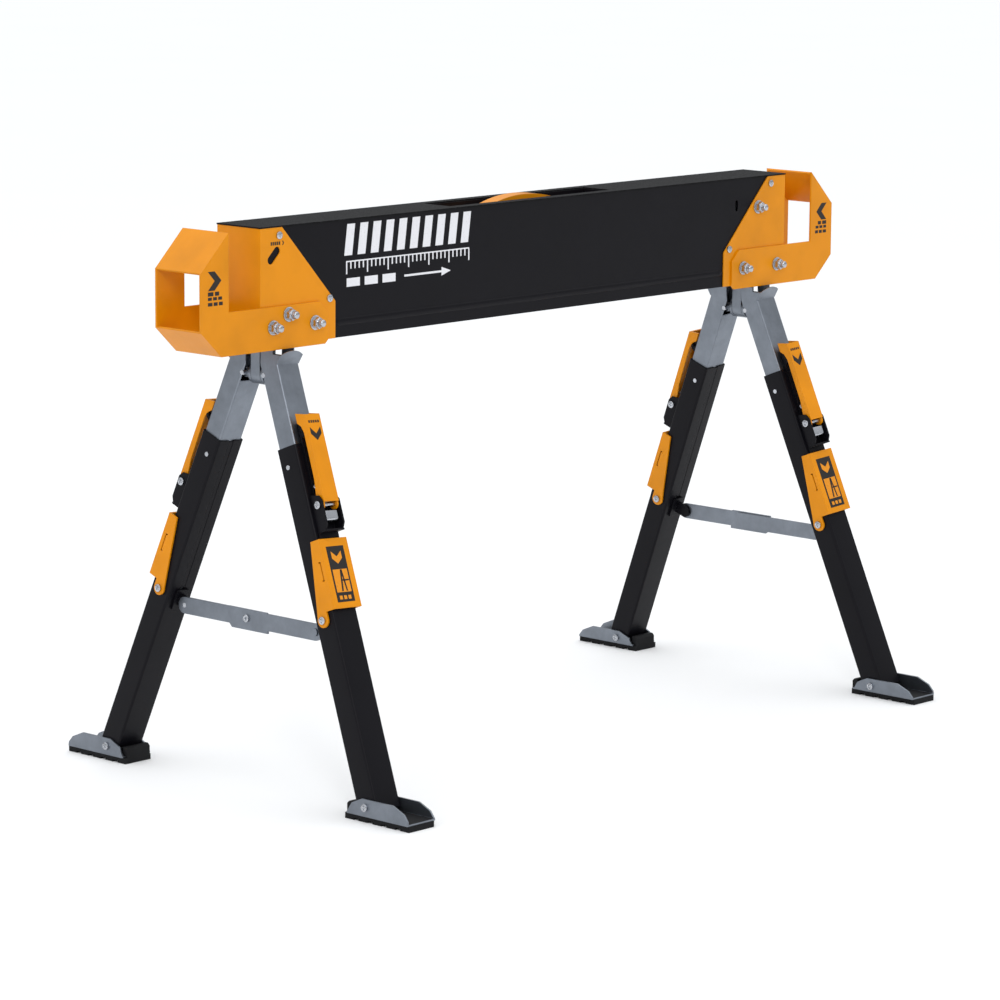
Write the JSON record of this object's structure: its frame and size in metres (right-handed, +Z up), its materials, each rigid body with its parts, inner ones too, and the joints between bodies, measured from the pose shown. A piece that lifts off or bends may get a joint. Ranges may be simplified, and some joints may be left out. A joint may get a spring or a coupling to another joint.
{
  "type": "folding sawhorse",
  "caption": "Folding sawhorse: pressed-steel beam with notched lumber arms, splayed telescoping legs with lever locks, folding cross braces and a recessed carry handle.",
  "frame": {"origin": "on the floor under the middle of the beam, standing with the legs at their shortest", "axes": "+X along the beam to the right, +Y towards the back, +Z up"},
  "size_m": [1.141, 0.5776, 0.67],
  "materials": {
    "black_steel": "satin black powder coat",
    "yellow_steel": "semi-gloss orange-yellow powder coat",
    "zinc_steel": "bright zinc plate",
    "bright_fasteners": "bright zinc plate",
    "grit_strip": "coarse non-slip coating",
    "rubber": "matte black"
  },
  "bodies": {
    "beam": {"beam_channel": "black_steel", "grip_plate": "grit_strip", "end_cap_left": "yellow_steel", "end_cap_right": "yellow_steel", "arm_left": "yellow_steel", "arm_right": "yellow_steel", "cap_screws": "bright_fasteners", "arm_bolts": "bright_fasteners", "hanger_bolts": "bright_fasteners", "washers": "bright_fasteners", "nuts": "bright_fasteners", "hanger_left": "zinc_steel", "hanger_right": "zinc_steel", "handle_tray": "black_steel"},
    "handle": {"carry_handle": "yellow_steel"},
    "fold_left": {"yoke_left": "zinc_steel", "splay_pins_left": "bright_fasteners"},
    "leg_left_front": {"leg_tube_left_front": "zinc_steel", "brace_tab_left_front": "zinc_steel"},
    "slide_left_front": {"slide_tube_left_front": "black_steel", "lock_housing_left_front": "black_steel", "leg_screws_left_front": "bright_fasteners"},
    "lever_left_front": {"lever_left_front": "yellow_steel"},
    "support_left_front": {"support_left_front": "yellow_steel"},
    "foot_left_front": {"shoe_left_front": "zinc_steel", "pad_left_front": "rubber"},
    "brace_left_front": {"brace_left_front": "zinc_steel"},
    "leg_left_back": {"leg_tube_left_back": "zinc_steel", "brace_tab_left_back": "zinc_steel"},
    "slide_left_back": {"slide_tube_left_back": "black_steel", "lock_housing_left_back": "black_steel", "leg_screws_left_back": "bright_fasteners"},
    "lever_left_back": {"lever_left_back": "yellow_steel"},
    "support_left_back": {"support_left_back": "yellow_steel"},
    "foot_left_back": {"shoe_left_back": "zinc_steel", "pad_left_back": "rubber"},
    "brace_left_back": {"brace_left_back": "zinc_steel"},
    "fold_right": {"yoke_right": "zinc_steel", "splay_pins_right": "bright_fasteners"},
    "leg_right_front": {"leg_tube_right_front": "zinc_steel", "brace_tab_right_front": "zinc_steel"},
    "slide_right_front": {"slide_tube_right_front": "black_steel", "lock_housing_right_front": "black_steel", "leg_screws_right_front": "bright_fasteners"},
    "lever_right_front": {"lever_right_front": "yellow_steel"},
    "support_right_front": {"support_right_front": "yellow_steel"},
    "foot_right_front": {"shoe_right_front": "zinc_steel", "pad_right_front": "rubber"},
    "brace_right_front": {"brace_right_front": "zinc_steel"},
    "leg_right_back": {"leg_tube_right_back": "zinc_steel", "brace_tab_right_back": "zinc_steel"},
    "slide_right_back": {"slide_tube_right_back": "black_steel", "lock_housing_right_back": "black_steel", "leg_screws_right_back": "bright_fasteners"},
    "lever_right_back": {"lever_right_back": "yellow_steel"},
    "support_right_back": {"support_right_back": "yellow_steel"},
    "foot_right_back": {"shoe_right_back": "zinc_steel", "pad_right_back": "rubber"},
    "brace_right_back": {"brace_right_back": "zinc_steel"}
  },
  "joints": [
    {"name": "handle_lift", "type": "slide", "parent": "beam", "child": "handle", "axis": [0, 0, 1], "range_m": [0, 0.012]},
    {"name": "fold_left", "type": "hinge", "parent": "beam", "child": "fold_left", "pos_m": [-0.436, 0, 0.49], "axis": [0, -1, 0], "range_deg": [0, 93.6]},
    {"name": "splay_left_front", "type": "hinge", "parent": "fold_left", "child": "leg_left_front", "pos_m": [-0.436, -0.018, 0.49], "axis": [0.998, 0, -0.0628], "range_deg": [0, 19]},
    {"name": "brace_left_front", "type": "hinge", "parent": "leg_left_front", "child": "brace_left_front", "pos_m": [-0.45413, -0.1124, 0.20188], "axis": [0.998, 0, -0.0628], "range_deg": [0, 64.7]},
    {"name": "extend_left_front", "type": "slide", "parent": "leg_left_front", "child": "slide_left_front", "axis": [-0.0584, -0.3691, -0.9275], "range_m": [0, 0.178]},
    {"name": "lever_left_front", "type": "hinge", "parent": "slide_left_front", "child": "lever_left_front", "pos_m": [-0.44478, -0.11471, 0.35045], "axis": [0.998, 0, -0.0628], "range_deg": [0, 60]},
    {"name": "support_left_front", "type": "hinge", "parent": "slide_left_front", "child": "support_left_front", "pos_m": [-0.45297, -0.13853, 0.22029], "axis": [0.998, 0, -0.0628], "range_deg": [0, 65]},
    {"name": "foot_left_front", "type": "hinge", "parent": "slide_left_front", "child": "foot_left_front", "pos_m": [-0.46581, -0.21974, 0.01623], "axis": [0.998, 0, -0.0628], "range_deg": [-15, 15]},
    {"name": "splay_left_back", "type": "hinge", "parent": "fold_left", "child": "leg_left_back", "pos_m": [-0.436, 0.018, 0.49], "axis": [-0.998, 0, 0.0628], "range_deg": [0, 19]},
    {"name": "brace_left_back", "type": "hinge", "parent": "leg_left_back", "child": "brace_left_back", "pos_m": [-0.45413, 0.1124, 0.20188], "axis": [-0.998, 0, 0.0628], "range_deg": [0, 64.7]},
    {"name": "extend_left_back", "type": "slide", "parent": "leg_left_back", "child": "slide_left_back", "axis": [-0.0584, 0.3691, -0.9275], "range_m": [0, 0.178]},
    {"name": "lever_left_back", "type": "hinge", "parent": "slide_left_back", "child": "lever_left_back", "pos_m": [-0.44478, 0.11471, 0.35045], "axis": [-0.998, 0, 0.0628], "range_deg": [0, 60]},
    {"name": "support_left_back", "type": "hinge", "parent": "slide_left_back", "child": "support_left_back", "pos_m": [-0.45297, 0.13853, 0.22029], "axis": [-0.998, 0, 0.0628], "range_deg": [0, 65]},
    {"name": "foot_left_back", "type": "hinge", "parent": "slide_left_back", "child": "foot_left_back", "pos_m": [-0.46581, 0.21974, 0.01623], "axis": [-0.998, 0, 0.0628], "range_deg": [-15, 15]},
    {"name": "fold_right", "type": "hinge", "parent": "beam", "child": "fold_right", "pos_m": [0.436, 0, 0.49], "axis": [0, 1, 0], "range_deg": [0, 78]},
    {"name": "splay_right_front", "type": "hinge", "parent": "fold_right", "child": "leg_right_front", "pos_m": [0.436, -0.018, 0.49], "axis": [0.998, 0, 0.0628], "range_deg": [0, 19]},
    {"name": "brace_right_front", "type": "hinge", "parent": "leg_right_front", "child": "brace_right_front", "pos_m": [0.45413, -0.1124, 0.20188], "axis": [0.998, 0, 0.0628], "range_deg": [0, 64.7]},
    {"name": "extend_right_front", "type": "slide", "parent": "leg_right_front", "child": "slide_right_front", "axis": [0.0584, -0.3691, -0.9275], "range_m": [0, 0.178]},
    {"name": "lever_right_front", "type": "hinge", "parent": "slide_right_front", "child": "lever_right_front", "pos_m": [0.44478, -0.11471, 0.35045], "axis": [0.998, 0, 0.0628], "range_deg": [0, 60]},
    {"name": "support_right_front", "type": "hinge", "parent": "slide_right_front", "child": "support_right_front", "pos_m": [0.45297, -0.13853, 0.22029], "axis": [0.998, 0, 0.0628], "range_deg": [0, 65]},
    {"name": "foot_right_front", "type": "hinge", "parent": "slide_right_front", "child": "foot_right_front", "pos_m": [0.46581, -0.21974, 0.01623], "axis": [0.998, 0, 0.0628], "range_deg": [-15, 15]},
    {"name": "splay_right_back", "type": "hinge", "parent": "fold_right", "child": "leg_right_back", "pos_m": [0.436, 0.018, 0.49], "axis": [-0.998, 0, -0.0628], "range_deg": [0, 19]},
    {"name": "brace_right_back", "type": "hinge", "parent": "leg_right_back", "child": "brace_right_back", "pos_m": [0.45413, 0.1124, 0.20188], "axis": [-0.998, 0, -0.0628], "range_deg": [0, 64.7]},
    {"name": "extend_right_back", "type": "slide", "parent": "leg_right_back", "child": "slide_right_back", "axis": [0.0584, 0.3691, -0.9275], "range_m": [0, 0.178]},
    {"name": "lever_right_back", "type": "hinge", "parent": "slide_right_back", "child": "lever_right_back", "pos_m": [0.44478, 0.11471, 0.35045], "axis": [-0.998, 0, -0.0628], "range_deg": [0, 60]},
    {"name": "support_right_back", "type": "hinge", "parent": "slide_right_back", "child": "support_right_back", "pos_m": [0.45297, 0.13853, 0.22029], "axis": [-0.998, 0, -0.0628], "range_deg": [0, 65]},
    {"name": "foot_right_back", "type": "hinge", "parent": "slide_right_back", "child": "foot_right_back", "pos_m": [0.46581, 0.21974, 0.01623], "axis": [-0.998, 0, -0.0628], "range_deg": [-15, 15]}
  ],
  "couplings": [
    {"joint": "splay_left_back", "follows": "splay_left_front", "ratio": 1},
    {"joint": "brace_left_front", "follows": "splay_left_front", "ratio": 3.38},
    {"joint": "brace_left_back", "follows": "splay_left_front", "ratio": 3.38},
    {"joint": "splay_right_back", "follows": "splay_right_front", "ratio": 1},
    {"joint": "brace_right_front", "follows": "splay_right_front", "ratio": 3.38},
    {"joint": "brace_right_back", "follows": "splay_right_front", "ratio": 3.38}
  ]
}
